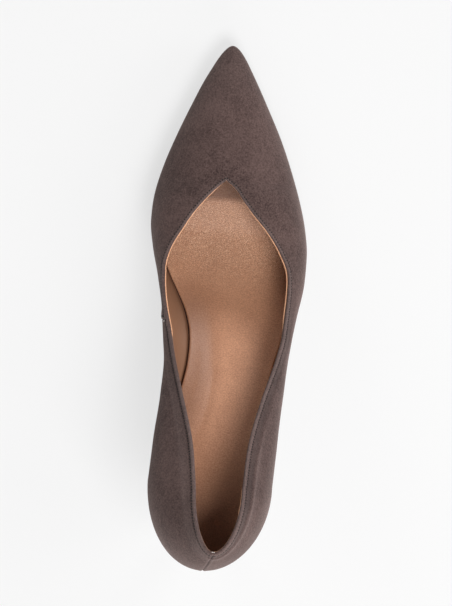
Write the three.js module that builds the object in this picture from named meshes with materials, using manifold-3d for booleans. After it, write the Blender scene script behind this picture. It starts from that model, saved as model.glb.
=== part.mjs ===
// A pointed court shoe for the right foot, with a V-cut throat and a slim high heel.
// Millimetres, +Z up, +Y towards the toe, +X towards the outer side of the foot.
// The origin is on the floor, at the middle of the flat tread under the ball of the foot.
import * as THREE from "three";
import { ParametricGeometry } from "three/addons/geometries/ParametricGeometry.js";
import { mergeGeometries, mergeVertices } from "three/addons/utils/BufferGeometryUtils.js";
import Module from "manifold-3d";

const wasm = await Module();
wasm.setup();
const { lerp, smoothstep } = THREE.MathUtils;

// Sizes of the last.
const shoeLength = 255; // heel bulge to toe tip, seen from above
const ballWidth = 78;
const heelWidth = 60;
const heelHeight = 70; // floor to the seat at the back of the heel
const counterHeight = 53; // seat to topline at the back seam
const throatHeight = 35.5; // sole to the point of the V
const toeSpring = 5.5;
const archRise = 3.5; // how far the inner edge of the waist is lifted
const heelDish = 1.5; // how far the edges of the heel seat stand above its middle

// Sizes of the pieces.
const upperWall = 1.7;
const lastingMargin = 11; // how far the upper turns in under the insole
const insoleThickness = 2.6;
const outsoleThickness = 2.6;
const soleInset = 1; // outsole edge, in from the edge of the upper
const heelInset = 0.4; // heel seat edge, in from the edge of the upper
const heelBreast = 52; // shoe's back end to the middle of the heel's front edge
const breastRadius = 55; // hollow curve of that edge, seen from below
const stemWidth = 9;
const stemLength = 9.4;
const stemSetback = 24; // shoe's back end to the middle of the stem's foot
const topPieceHeight = 6;
const topPieceLip = 0.4; // the stem's foot, in from the edge of the top piece
const seamGap = 0.3; // between pieces that are glued together
const cutMargin = 12; // how far a shape runs on past the cut that trims it

// Places along the shoe, from 0 at the back of the heel to 1 at the toe tip.
const heelCentre = 0.16; // behind it, the sections turn round the heel
const treadBack = 0.645; // between here and the tread's front, the sole is flat
const treadFront = 0.685;
const throat = 0.735; // point of the V
const toeCentre = 0.965; // ahead of it, the sections turn round the toe

// How full the drawn curves are.
const ellipseHandle = 0.5523; // handle that makes a quarter of an ellipse
const straightHandle = 1 / 3; // handle that makes an even, nearly straight run
const noseFullness = 0.77; // 1 is a blunt round nose, 0 a sharp one

const treadMiddle = (treadBack + treadFront) / 2;
const yAt = (along) => (along - treadMiddle) * shoeLength;
const alongAt = (y) => y / shoeLength + treadMiddle;

// Side view of the seat line. Seat is a share of the heel's height, spring of the toe spring.
const seatRows = [
  { along: 0.0, seat: 1.0, spring: 0 },
  { along: 0.1, seat: 0.955, spring: 0 },
  { along: 0.2, seat: 0.845, spring: 0 },
  { along: 0.3, seat: 0.66, spring: 0 },
  { along: 0.4, seat: 0.435, spring: 0 },
  { along: 0.46, seat: 0.29, spring: 0 },
  { along: 0.52, seat: 0.152, spring: 0 },
  { along: 0.56, seat: 0.079, spring: 0 },
  { along: 0.6, seat: 0.027, spring: 0 },
  { along: treadBack, seat: 0, spring: 0 },
  { along: treadFront, seat: 0, spring: 0 },
  { along: 0.85, seat: 0, spring: 0.35 },
  { along: 1.0, seat: 0, spring: 1 },
];

// Inner edge of the waist: share of the arch rise.
const archRows = [
  { along: 0.26, rise: 0 },
  { along: 0.36, rise: 0.75 },
  { along: 0.44, rise: 1 },
  { along: 0.52, rise: 0.6 },
  { along: 0.6, rise: 0 },
];

// Outline of the sole, as shares of the girth: inner side negative, outer side positive.
const featherRows = [
  { along: heelCentre, inner: -0.425, outer: 0.425 },
  { along: 0.24, inner: -0.376, outer: 0.422 },
  { along: 0.32, inner: -0.293, outer: 0.412 },
  { along: 0.38, inner: -0.233, outer: 0.433 },
  { along: 0.43, inner: -0.215, outer: 0.461 },
  { along: 0.48, inner: -0.242, outer: 0.471 },
  { along: 0.52, inner: -0.296, outer: 0.477 },
  { along: 0.56, inner: -0.358, outer: 0.486 },
  { along: 0.61, inner: -0.408, outer: 0.494 },
  { along: 0.66, inner: -0.427, outer: 0.481 },
  { along: 0.72, inner: -0.403, outer: 0.436 },
  { along: 0.8, inner: -0.323, outer: 0.346 },
  { along: 0.88, inner: -0.219, outer: 0.229 },
  { along: 0.93, inner: -0.149, outer: 0.149 },
  { along: toeCentre, inner: -0.09, outer: 0.09 },
];

// Widest line of the upper, as shares of the girth.
const widestRows = [
  { along: heelCentre, inner: -0.497, outer: 0.493 },
  { along: 0.24, inner: -0.467, outer: 0.513 },
  { along: 0.32, inner: -0.404, outer: 0.507 },
  { along: 0.4, inner: -0.362, outer: 0.495 },
  { along: 0.48, inner: -0.364, outer: 0.507 },
  { along: 0.54, inner: -0.389, outer: 0.535 },
  { along: 0.6, inner: -0.433, outer: 0.545 },
  { along: 0.65, inner: -0.455, outer: 0.526 },
  { along: 0.7, inner: -0.444, outer: 0.486 },
  { along: 0.76, inner: -0.395, outer: 0.422 },
  { along: 0.82, inner: -0.324, outer: 0.345 },
  { along: 0.88, inner: -0.242, outer: 0.251 },
  { along: 0.93, inner: -0.168, outer: 0.168 },
  { along: toeCentre, inner: -0.106, outer: 0.106 },
];

// Height of that line above the seat line, as shares of the counter height.
const riseRows = [
  { along: 0.0, inner: 0.23, outer: 0.23 },
  { along: 0.16, inner: 0.26, outer: 0.26 },
  { along: 0.32, inner: 0.35, outer: 0.28 },
  { along: 0.4, inner: 0.41, outer: 0.29 },
  { along: 0.48, inner: 0.4, outer: 0.28 },
  { along: 0.6, inner: 0.29, outer: 0.25 },
  { along: 0.7, inner: 0.22, outer: 0.21 },
  { along: 0.82, inner: 0.16, outer: 0.155 },
  { along: 0.93, inner: 0.11, outer: 0.11 },
  { along: 1.0, inner: 0.085, outer: 0.085 },
];

// Topline, as shares of the girth.
const edgeRows = [
  { along: heelCentre, inner: -0.133, outer: 0.25 },
  { along: 0.24, inner: -0.173, outer: 0.282 },
  { along: 0.32, inner: -0.245, outer: 0.345 },
  { along: 0.4, inner: -0.302, outer: 0.412 },
  { along: 0.44, inner: -0.321, outer: 0.431 },
  { along: 0.48, inner: -0.347, outer: 0.433 },
  { along: 0.52, inner: -0.363, outer: 0.435 },
  { along: 0.56, inner: -0.366, outer: 0.429 },
  { along: 0.6, inner: -0.333, outer: 0.374 },
  { along: 0.64, inner: -0.259, outer: 0.281 },
  { along: 0.67, inner: -0.197, outer: 0.19 },
  { along: 0.7, inner: -0.119, outer: 0.109 },
  { along: 0.72, inner: -0.056, outer: 0.06 },
  { along: throat, inner: 0, outer: 0 },
];

// Height of the topline above the seat line, as shares of its scale.
const heightRows = [
  { along: 0.04, inner: 1, outer: 1 },
  { along: 0.07, inner: 0.974, outer: 0.972 },
  { along: 0.11, inner: 0.915, outer: 0.908 },
  { along: 0.16, inner: 0.84, outer: 0.825 },
  { along: 0.24, inner: 0.767, outer: 0.748 },
  { along: 0.32, inner: 0.723, outer: 0.702 },
  { along: 0.4, inner: 0.697, outer: 0.673 },
  { along: 0.44, inner: 0.707, outer: 0.675 },
  { along: 0.48, inner: 0.737, outer: 0.706 },
  { along: 0.52, inner: 0.81, outer: 0.77 },
  { along: 0.56, inner: 0.927, outer: 0.863 },
  { along: 0.6, inner: 1.051, outer: 0.994 },
  { along: 0.64, inner: 1.14, outer: 1.1 },
  { along: 0.67, inner: 1.145, outer: 1.13 },
  { along: 0.7, inner: 1.1, outer: 1.1 },
  { along: throat, inner: 1, outer: 1 },
];

// Lean of the wall at the topline, in degrees from upright.
const leanRows = [
  { along: 0.04, inner: 22, outer: 22 },
  { along: 0.11, inner: 42, outer: 38 },
  { along: 0.16, inner: 50, outer: 44 },
  { along: 0.24, inner: 48, outer: 42 },
  { along: 0.32, inner: 42, outer: 40 },
  { along: 0.4, inner: 34, outer: 36 },
  { along: 0.48, inner: 18, outer: 32 },
  { along: 0.52, inner: 16, outer: 36 },
  { along: 0.56, inner: 26, outer: 40 },
  { along: 0.6, inner: 44, outer: 50 },
  { along: 0.64, inner: 60, outer: 63 },
  { along: 0.68, inner: 73, outer: 75 },
  { along: 0.72, inner: 86, outer: 86 },
  { along: throat, inner: 90, outer: 90 },
];

// Ridge of the vamp, ahead of the throat: its height above the seat line as a share of the throat's.
const ridgeRows = [
  { along: throat, height: 1 },
  { along: 0.76, height: 0.94 },
  { along: 0.8, height: 0.84 },
  { along: 0.84, height: 0.73 },
  { along: 0.88, height: 0.615 },
  { along: 0.92, height: 0.49 },
  { along: 0.95, height: 0.385 },
  { along: toeCentre, height: 0.325 },
];

// The three lines that every section of the upper passes through, and where each one ends.
const feather = { rows: featherRows, backAlong: 0.014, backAcross: -0.016, tip: 0.991 };
const widest = { rows: widestRows, backAlong: 0, backAcross: -0.026, tip: 1 };
const edge = { rows: edgeRows, backAlong: 0.041, backAcross: 0.04 };

// Heel, from its seat (down 0) to its foot (down 1): shares of the way from the stem's outline to
// the seat's. The first row is above the seat, so that the seat can be cut to its own shape.
const heelRows = [
  { down: -0.16, width: 1, back: 1, front: 1 },
  { down: 0, width: 1, back: 1, front: 1 },
  { down: 0.05, width: 0.93, back: 0.96, front: 0.94 },
  { down: 0.1, width: 0.81, back: 0.87, front: 0.79 },
  { down: 0.17, width: 0.6, back: 0.7, front: 0.605 },
  { down: 0.25, width: 0.41, back: 0.52, front: 0.44 },
  { down: 0.36, width: 0.25, back: 0.34, front: 0.285 },
  { down: 0.5, width: 0.14, back: 0.19, front: 0.165 },
  { down: 0.7, width: 0.05, back: 0.07, front: 0.06 },
  { down: 1, width: 0, back: 0, front: 0 },
];

// A column of a table, at a place between its rows: a smooth curve that never overshoots a row.
function read(rows, column, place, key = "along") {
  const last = rows.length - 1;
  if (place <= rows[0][key]) return rows[0][column];
  if (place >= rows[last][key]) return rows[last][column];
  let at = 0;
  while (rows[at + 1][key] < place) at++;
  const gapAfter = (i) => rows[i + 1][key] - rows[i][key];
  const steepAfter = (i) => (rows[i + 1][column] - rows[i][column]) / gapAfter(i);
  const steepAt = (i) => {
    if (i === 0) return steepAfter(0);
    if (i === last) return steepAfter(last - 1);
    const before = steepAfter(i - 1);
    const after = steepAfter(i);
    if (before * after <= 0) return 0;
    const blend = (before * gapAfter(i) + after * gapAfter(i - 1)) / (gapAfter(i) + gapAfter(i - 1));
    const limit = 3 * Math.min(Math.abs(before), Math.abs(after));
    return Math.sign(blend) * Math.min(Math.abs(blend), limit);
  };
  const gap = gapAfter(at);
  const t = (place - rows[at][key]) / gap;
  const rise = t * t * (3 - 2 * t);
  const early = t * (1 - t) * (1 - t) * gap;
  const late = t * t * (t - 1) * gap;
  return lerp(rows[at][column], rows[at + 1][column], rise) + early * steepAt(at) + late * steepAt(at + 1);
}

// Width that the tables' shares follow: the heel's at the back, the ball's at the front.
const girth = (along) => lerp(heelWidth, ballWidth, smoothstep(along, 0.2, 0.55));
const across = (rows, side, along) => read(rows, side, along) * girth(along);

// Height that the topline's shares follow: the counter's at the back, the throat's at the front.
const toplineScale = (along) => lerp(counterHeight, throatHeight, smoothstep(along, heelCentre, treadBack));

// Height of the middle of the seat, where the upper meets the sole.
function seatLine(along) {
  const treadSeat = outsoleThickness + seamGap;
  const heelShare = read(seatRows, "seat", along) * (heelHeight - treadSeat);
  return treadSeat + heelShare + read(seatRows, "spring", along) * toeSpring;
}

// Height of the seat at any point: its inner edge lifts at the arch, and its heel is dished.
function seatHeight(x, y) {
  const along = alongAt(y);
  const side = x < 0 ? "inner" : "outer";
  const outward = Math.min(1, Math.abs(x / across(featherRows, side, along)));
  const arch = x < 0 ? archRise * read(archRows, "rise", along) : 0;
  const dish = heelDish * (1 - smoothstep(along, 0.2, 0.34));
  return seatLine(along) + (arch + dish) * outward ** 2;
}

// Stations along one side, from the back seam to the toe tip. Turn goes from 0 to 1 round an end.
const steps = { heel: 10, quarter: 18, tread: 3, throat: 2, vamp: 9, toe: 6 };
const range = (count, from, to) => Array.from({ length: count }, (_, i) => lerp(from, to, i / count));
const stations = [
  ...range(steps.heel, 0, 1).map((turn) => ({ zone: "heel", turn, along: heelCentre })),
  ...[
    ...range(steps.quarter, heelCentre, treadBack),
    ...range(steps.tread, treadBack, treadFront),
    ...range(steps.throat, treadFront, throat),
  ].map((along) => ({ zone: "side", turn: 0, along })),
  ...range(steps.vamp, throat, toeCentre).map((along) => ({ zone: "vamp", turn: 0, along })),
  ...range(steps.toe, 0, 1).map((turn) => ({ zone: "toe", turn, along: toeCentre })),
  { zone: "toe", turn: 1, along: toeCentre },
];

// The whole way round: toe tip, inner side, back seam, outer side, toe tip.
const circuit = [
  ...stations.slice(1).reverse().map((station) => ({ ...station, side: "inner" })),
  ...stations.map((station) => ({ ...station, side: "outer" })),
];
const isOpen = ({ zone }) => zone === "heel" || zone === "side";

// A point of a line, seen from above.
function planPoint(line, { zone, turn, along, side }) {
  const x = across(line.rows, side, along);
  if (zone === "heel") {
    const other = across(line.rows, side === "inner" ? "outer" : "inner", along);
    const sideways = Math.sin((turn * Math.PI) / 2);
    const middle = lerp(line.backAcross * heelWidth, (x + other) / 2, sideways ** 2);
    const back = (heelCentre - line.backAlong) * Math.cos((turn * Math.PI) / 2);
    return new THREE.Vector2(middle + ((x - other) / 2) * sideways, yAt(heelCentre - back));
  }
  if (zone === "toe") {
    const left = 1 - turn;
    const narrowing = noseFullness * left + (1 - noseFullness) * left ** 2;
    return new THREE.Vector2(x * narrowing, yAt(line.tip - (line.tip - toeCentre) * left ** 2));
  }
  return new THREE.Vector2(x, yAt(along));
}

// The topline or, ahead of the throat, the ridge of the vamp.
function rimPoint(station) {
  if (isOpen(station)) return planPoint(edge, station);
  return new THREE.Vector2(0, yAt(station.along));
}

// The line along the middle of the sole that every section starts from.
function spinePoint({ zone, along }) {
  if (zone === "toe") return new THREE.Vector2(0, yAt(toeCentre));
  const middle = (across(featherRows, "inner", along) + across(featherRows, "outer", along)) / 2;
  return new THREE.Vector2(middle * smoothstep(toeCentre - along, 0, 0.05), yAt(along));
}

// Rise of the ridge for each millimetre ahead, where the toe's sections meet.
const ridgeZ = ({ along, height }) => seatLine(along) + height * throatHeight;
const [nearPole, pole] = ridgeRows.slice(-2);
const ridgeFall = (ridgeZ(pole) - ridgeZ(nearPole)) / (yAt(pole.along) - yAt(nearPole.along));

const raise = (plan, z) => new THREE.Vector3(plan.x, plan.y, z);
const samples = (curve, count) => Array.from({ length: count }, (_, i) => curve.getPoint((i + 1) / count));

// Height and lean of the rim: those of the topline or, ahead of the throat, of the ridge.
function rimForm(station, along) {
  if (!isOpen(station)) return { top: read(ridgeRows, "height", along) * throatHeight, lean: 90 };
  const top = read(heightRows, station.side, along) * toplineScale(along);
  return { top, lean: read(leanRows, station.side, along) };
}

// One section of the upper, this deep under its outer face: from the end of the lasting margin,
// out to the sole's edge, up the wall to its widest line, and in to the topline or the ridge.
function upperSection(station, depth) {
  const foot = planPoint(feather, station);
  const wide = planPoint(widest, station);
  const rim = rimPoint(station);
  const { top, lean } = rimForm(station, alongAt(rim.y));
  const upright = Math.cos(THREE.MathUtils.degToRad(lean));
  const level = Math.sin(THREE.MathUtils.degToRad(lean));
  const inward = rim.clone().sub(wide).normalize();
  const footInward = spinePoint(station).sub(foot);
  const margin = Math.min(lastingMargin, 0.7 * footInward.length());
  footInward.normalize();

  const seam = foot.clone().addScaledVector(footInward, margin);
  const corner = foot.clone().addScaledVector(footInward, depth);
  const bulge = wide.clone().addScaledVector(inward, depth);
  const lip = rim.clone().addScaledVector(inward, depth * upright);
  const rise = read(riseRows, station.side, alongAt(wide.y)) * counterHeight;
  const seamZ = seatHeight(seam.x, seam.y) + depth;
  const cornerZ = seatHeight(corner.x, corner.y) + depth;
  const bulgeZ = seatLine(alongAt(wide.y)) + rise;
  const lipZ = seatLine(alongAt(rim.y)) + top - depth * level;

  const low = new THREE.CubicBezierCurve3(
    raise(corner, cornerZ),
    raise(corner.clone().lerp(bulge, 0.5), lerp(cornerZ, bulgeZ, 0.2)),
    raise(bulge, lerp(cornerZ, bulgeZ, 0.55)),
    raise(bulge, bulgeZ),
  );
  const handle = lerp(straightHandle, ellipseHandle, level ** 2);
  const reach = handle * (lip.distanceTo(bulge) * level + (lipZ - bulgeZ) * upright);
  const fall = handle * ridgeFall * (wide.y - rim.y) * (isOpen(station) ? 0 : 1);
  const high = new THREE.CubicBezierCurve3(
    raise(bulge, bulgeZ),
    raise(bulge, lerp(bulgeZ, lipZ, handle) + fall),
    raise(lip.clone().addScaledVector(inward, -reach * level), lipZ - reach * upright + fall),
    raise(lip, lipZ),
  );
  return [raise(seam, seamZ), raise(corner, cornerZ), ...samples(low, 4), ...samples(high, 7)];
}

// A surface through a grid of points. It faces the way its rows turn to its columns.
function surface(grid) {
  const columns = grid.length - 1;
  const rows = grid[0].length - 1;
  const pick = (u, v, target) => target.copy(grid[Math.round(u * columns)][Math.round(v * rows)]);
  return new ParametricGeometry(pick, columns, rows);
}

// A solid from surfaces that close on each other.
function solidOf(...surfaces) {
  const geometry = mergeGeometries(surfaces);
  geometry.deleteAttribute("normal");
  geometry.deleteAttribute("uv");
  const merged = mergeVertices(geometry, 1e-3);
  const corners = merged.index.array;
  const triangles = [];
  for (let i = 0; i < corners.length; i += 3) {
    const [a, b, c] = corners.slice(i, i + 3);
    if (a !== b && b !== c && c !== a) triangles.push(a, b, c);
  }
  const vertProperties = merged.attributes.position.array;
  const triVerts = new Uint32Array(triangles);
  return new wasm.Manifold(new wasm.Mesh({ numProp: 3, vertProperties, triVerts }));
}

// A named mesh from a solid.
function meshOf(name, solid, material) {
  const { vertProperties, triVerts } = solid.getMesh();
  const geometry = new THREE.BufferGeometry();
  geometry.setAttribute("position", new THREE.BufferAttribute(vertProperties, 3));
  geometry.setIndex(new THREE.BufferAttribute(triVerts, 1));
  geometry.computeVertexNormals();
  const mesh = new THREE.Mesh(geometry, material);
  mesh.name = name;
  return mesh;
}

// The upper: two skins, joined at the end of the lasting margin and along the topline.
function makeUpper() {
  const outside = circuit.map((station) => upperSection(station, 0));
  const inside = circuit.map((station) => upperSection(station, upperWall));
  const last = outside[0].length - 1;
  const open = circuit.map((station, i) => i).filter((i) => isOpen(circuit[i]));
  const rim = circuit.map((_, i) => i).slice(open[0] - 1, open.at(-1) + 2);
  return solidOf(
    surface(outside),
    surface(inside.map((section) => [...section].reverse())),
    surface(circuit.map((_, i) => [inside[i][0], outside[i][0]])),
    surface(rim.map((i) => [outside[i][last], inside[i][last]])),
  );
}

// A plate that lies along the seat, between two heights above it, with its edge set in.
function plate(inset, low, high) {
  const rings = [0, 0.35, 0.7, 1];
  const grid = circuit.map((station) => {
    const spine = spinePoint(station);
    const foot = planPoint(feather, station);
    const rim = foot.clone().addScaledVector(spine.clone().sub(foot).normalize(), inset);
    const at = (ring, height) => {
      const plan = spine.clone().lerp(rim, ring);
      return raise(plan, seatHeight(plan.x, plan.y) + height);
    };
    return [...rings.map((ring) => at(ring, low)), ...[...rings].reverse().map((ring) => at(ring, high))];
  });
  return solidOf(surface(grid));
}

// A closed solid through rings of points, one above the other.
function loft(rings) {
  const centre = (ring) => ring.reduce((sum, p) => sum.add(p), new THREE.Vector3()).divideScalar(ring.length);
  const bottom = centre(rings[0]);
  const top = centre(rings.at(-1));
  const around = [...rings[0].keys(), 0];
  return solidOf(surface(around.map((i) => [bottom, ...rings.map((ring) => ring[i]), top])));
}

// A heel outline seen from above: round behind its widest place, and flatter at its breast.
function heelRing(halfWidth, back, middle, front, heightAt) {
  const count = 40;
  const power = (value, exponent) => Math.sign(value) * Math.abs(value) ** exponent;
  return Array.from({ length: count }, (_, i) => {
    const turn = (i / count) * 2 * Math.PI;
    const ahead = Math.sin(turn) > 0;
    const exponent = ahead ? 0.6 : 1;
    const depth = ahead ? front - middle : middle - back;
    const x = halfWidth * power(Math.cos(turn), exponent);
    const y = middle + depth * power(Math.sin(turn), exponent);
    return new THREE.Vector3(x, y, heightAt(y));
  });
}

const breastY = yAt(0) + heelBreast;
const breastCylinder = (radius) => {
  const height = 2 * heelHeight;
  const geometry = new THREE.CylinderGeometry(radius, radius, height, 96);
  geometry.rotateX(Math.PI / 2);
  geometry.translate(0, breastY + breastRadius, heelHeight);
  return solidOf(geometry);
};

// The heel: a seat of the shoe's own outline that runs down into a slim stem.
function makeHeel() {
  const seatBack = yAt(feather.backAlong) + heelInset;
  const seatHalf = across(featherRows, "outer", heelCentre) - heelInset;
  const seatFront = breastY + cutMargin;
  const stemMiddle = yAt(0) + stemSetback;
  const fall = (seatLine(0) - seatLine(0.2)) / (yAt(0.2) - yAt(0));
  const seatPlane = (y) => heelHeight - fall * (y - yAt(0));
  const foot = topPieceHeight + seamGap;
  const rings = [...heelRows].reverse().map(({ down, width, back, front }) => {
    const half = lerp(stemWidth / 2, seatHalf, width);
    const behind = lerp(stemMiddle - stemLength / 2, seatBack, back);
    const ahead = lerp(stemMiddle + stemLength / 2, seatFront, front);
    const middle = lerp(stemMiddle, yAt(heelCentre), (back + front) / 2);
    return heelRing(half, behind, middle, ahead, (y) => foot + (1 - down) * (seatPlane(y) - foot));
  });
  const aboveSeat = plate(-cutMargin, -seamGap, heelHeight);
  return loft(rings).subtract(aboveSeat).subtract(breastCylinder(breastRadius));
}

// The hard-wearing piece under the stem.
function makeTopPiece() {
  const middle = yAt(0) + stemSetback;
  const half = stemWidth / 2 + topPieceLip;
  const reach = stemLength / 2 + topPieceLip;
  const ringAt = (z) => heelRing(half, middle - reach, middle, middle + reach, () => z);
  return loft([ringAt(0), ringAt(topPieceHeight)]);
}

// The outsole: from the toe to the heel's breast, where it ends in the breast's curve.
function makeOutsole() {
  const whole = plate(soleInset, -seamGap - outsoleThickness, -seamGap);
  const box = new THREE.BoxGeometry(3 * heelWidth, shoeLength, 4 * heelHeight);
  box.translate(0, breastY + breastRadius / 2 - shoeLength / 2, 0);
  const behind = solidOf(box).subtract(breastCylinder(breastRadius - seamGap));
  return whole.subtract(behind);
}

const makeInsole = () => {
  const edgeGap = upperWall + seamGap;
  const bottom = upperWall + seamGap;
  return plate(edgeGap, bottom, bottom + insoleThickness);
};

const suede = new THREE.MeshStandardMaterial({ color: 0x5d4d4b, roughness: 0.95, metalness: 0 });
const footbedLeather = new THREE.MeshStandardMaterial({ color: 0xb08669, roughness: 0.45, metalness: 0.1 });
const soleLeather = new THREE.MeshStandardMaterial({ color: 0x3a302c, roughness: 0.5, metalness: 0 });
const heelSuede = new THREE.MeshStandardMaterial({ color: 0x5a4a48, roughness: 0.95, metalness: 0 });
const heelRubber = new THREE.MeshStandardMaterial({ color: 0x241f1d, roughness: 0.6, metalness: 0 });

const shoe = new THREE.Group();
shoe.add(
  meshOf("upper", makeUpper(), suede),
  meshOf("insole", makeInsole(), footbedLeather),
  meshOf("outsole", makeOutsole(), soleLeather),
  meshOf("heel", makeHeel(), heelSuede),
  meshOf("top_piece", makeTopPiece(), heelRubber),
);

export default shoe;
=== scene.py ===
import math

import bmesh
import bpy
from mathutils import Matrix, Vector
from mathutils.bvhtree import BVHTree
from mathutils.kdtree import KDTree


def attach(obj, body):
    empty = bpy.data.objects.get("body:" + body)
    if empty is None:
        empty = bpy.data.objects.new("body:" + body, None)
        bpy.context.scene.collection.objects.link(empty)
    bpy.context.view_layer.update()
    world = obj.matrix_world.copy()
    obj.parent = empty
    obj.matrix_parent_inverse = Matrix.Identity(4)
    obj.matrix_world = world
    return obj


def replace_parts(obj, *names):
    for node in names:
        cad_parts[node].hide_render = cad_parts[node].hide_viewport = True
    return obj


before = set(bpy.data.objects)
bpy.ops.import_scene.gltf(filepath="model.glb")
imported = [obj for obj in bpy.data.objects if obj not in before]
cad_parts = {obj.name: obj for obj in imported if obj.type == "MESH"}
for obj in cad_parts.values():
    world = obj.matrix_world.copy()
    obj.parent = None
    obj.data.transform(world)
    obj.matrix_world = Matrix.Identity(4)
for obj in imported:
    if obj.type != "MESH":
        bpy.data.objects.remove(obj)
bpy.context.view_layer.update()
print("frame loaded")

mm = 0.001

# Sizes in mm. Places along the shoe run from 0 at the back of the heel to 1 at the toe tip.
last = {
    "length": 255,
    "ballWidth": 78,
    "heelWidth": 60,
    "heelHeight": 70,
    "counterHeight": 53,
    "throatHeight": 35.5,
    "toeSpring": 5.5,
    "archRise": 3.5,
    "heelDish": 1.5,
    "heelCentre": 0.16,  # behind it the sections turn round the heel
    "treadBack": 0.645,
    "treadFront": 0.685,
    "throat": 0.735,
    "toeCentre": 0.965,  # ahead of it the sections turn round the toe
    "noseFullness": 0.77,
}
wall = {"thickness": 1.7, "margin": 11, "gap": 0.3, "outsole": 2.6, "insole": 2.6}

# Rows are (place, inner side, outer side), or (place, value).
seatShare = [
    (0, 1), (0.1, 0.955), (0.2, 0.845), (0.3, 0.66), (0.4, 0.435), (0.46, 0.29),
    (0.52, 0.152), (0.56, 0.079), (0.6, 0.027), (0.645, 0), (1, 0),
]
springShare = [(0, 0), (0.685, 0), (0.85, 0.35), (1, 1)]
archShare = [(0.26, 0), (0.36, 0.75), (0.44, 1), (0.52, 0.6), (0.6, 0)]
ridgeShare = [
    (0.735, 1), (0.76, 0.94), (0.8, 0.84), (0.84, 0.73), (0.88, 0.615), (0.92, 0.49),
    (0.95, 0.385), (0.965, 0.325),
]
featherRows = [
    (0.16, -0.425, 0.425), (0.24, -0.376, 0.422), (0.32, -0.293, 0.412), (0.38, -0.233, 0.433),
    (0.43, -0.215, 0.461), (0.48, -0.242, 0.471), (0.52, -0.296, 0.477), (0.56, -0.358, 0.486),
    (0.61, -0.408, 0.494), (0.66, -0.427, 0.481), (0.72, -0.403, 0.436), (0.8, -0.323, 0.346),
    (0.88, -0.219, 0.229), (0.93, -0.149, 0.149), (0.965, -0.09, 0.09),
]
widestRows = [
    (0.16, -0.497, 0.493), (0.24, -0.467, 0.513), (0.32, -0.404, 0.507), (0.4, -0.362, 0.495),
    (0.48, -0.364, 0.507), (0.54, -0.389, 0.535), (0.6, -0.433, 0.545), (0.65, -0.455, 0.526),
    (0.7, -0.444, 0.486), (0.76, -0.395, 0.422), (0.82, -0.324, 0.345), (0.88, -0.242, 0.251),
    (0.93, -0.168, 0.168), (0.965, -0.106, 0.106),
]
riseRows = [
    (0, 0.23, 0.23), (0.16, 0.26, 0.26), (0.32, 0.35, 0.28), (0.4, 0.41, 0.29), (0.48, 0.4, 0.28),
    (0.6, 0.29, 0.25), (0.7, 0.22, 0.21), (0.82, 0.16, 0.155), (0.93, 0.11, 0.11),
    (1, 0.085, 0.085),
]
edgeRows = [
    (0.16, -0.133, 0.25), (0.24, -0.173, 0.282), (0.32, -0.245, 0.345), (0.4, -0.302, 0.412),
    (0.44, -0.321, 0.431), (0.48, -0.347, 0.433), (0.52, -0.363, 0.435), (0.56, -0.366, 0.429),
    (0.6, -0.333, 0.374), (0.64, -0.259, 0.281), (0.67, -0.197, 0.19), (0.7, -0.119, 0.109),
    (0.72, -0.056, 0.06), (0.735, 0, 0),
]
heightRows = [
    (0.04, 1, 1), (0.07, 0.974, 0.972), (0.11, 0.915, 0.908), (0.16, 0.84, 0.825),
    (0.24, 0.767, 0.748), (0.32, 0.723, 0.702), (0.4, 0.697, 0.673), (0.44, 0.707, 0.675),
    (0.48, 0.737, 0.706), (0.52, 0.81, 0.77), (0.56, 0.927, 0.863), (0.6, 1.051, 0.994),
    (0.64, 1.14, 1.1), (0.67, 1.145, 1.13), (0.7, 1.1, 1.1), (0.735, 1, 1),
]
leanRows = [
    (0.04, 22, 22), (0.11, 42, 38), (0.16, 50, 44), (0.24, 48, 42), (0.32, 42, 40), (0.4, 34, 36),
    (0.48, 18, 32), (0.52, 16, 36), (0.56, 26, 40), (0.6, 44, 50), (0.64, 60, 63), (0.68, 73, 75),
    (0.72, 86, 86), (0.735, 90, 90),
]
# The three lines through every section: where each ends behind the heel and at the toe.
feather = {"rows": featherRows, "backAlong": 0.014, "backAcross": -0.016, "tip": 0.991}
widest = {"rows": widestRows, "backAlong": 0, "backAcross": -0.026, "tip": 1}
edge = {"rows": edgeRows, "backAlong": 0.041, "backAcross": 0.04}


def lerp(a, b, t):
    return a + (b - a) * t


def ramp(value, low, high):
    t = min(1, max(0, (value - low) / (high - low)))
    return t * t * (3 - 2 * t)


def bell(value, middle, width):
    return math.exp(-(((value - middle) / width) ** 2))


def readRows(rows, place, column=1):  # smooth curve through the rows, with no overshoot
    if place <= rows[0][0]:
        return rows[0][column]
    if place >= rows[-1][0]:
        return rows[-1][column]
    at = max(i for i, row in enumerate(rows) if row[0] < place)

    def gap(i):
        return rows[i + 1][0] - rows[i][0]

    def steep(i):
        return (rows[i + 1][column] - rows[i][column]) / gap(i)

    def slope(i):
        if i == 0 or i == len(rows) - 1:
            return steep(min(i, len(rows) - 2))
        before, after = steep(i - 1), steep(i)
        if before * after <= 0:
            return 0
        blend = (before * gap(i) + after * gap(i - 1)) / (gap(i) + gap(i - 1))
        return math.copysign(min(abs(blend), 3 * min(abs(before), abs(after))), blend)

    t = (place - rows[at][0]) / gap(at)
    bend = t * (1 - t) * gap(at) * (slope(at) * (1 - t) - slope(at + 1) * t)
    return lerp(rows[at][column], rows[at + 1][column], t * t * (3 - 2 * t)) + bend


def yAt(along):
    return (along - (last["treadBack"] + last["treadFront"]) / 2) * last["length"]


def alongAt(y):
    return y / last["length"] + (last["treadBack"] + last["treadFront"]) / 2


def columnOf(side):
    return 1 if side < 0 else 2


def across(rows, side, along):  # side is -1 for the inner side of the foot and 1 for the outer
    girth = lerp(last["heelWidth"], last["ballWidth"], ramp(along, 0.2, 0.55))
    return readRows(rows, along, columnOf(side)) * girth


def seatLine(along):
    tread = wall["outsole"] + wall["gap"]
    heel = readRows(seatShare, along) * (last["heelHeight"] - tread)
    return tread + heel + readRows(springShare, along) * last["toeSpring"]


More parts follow.
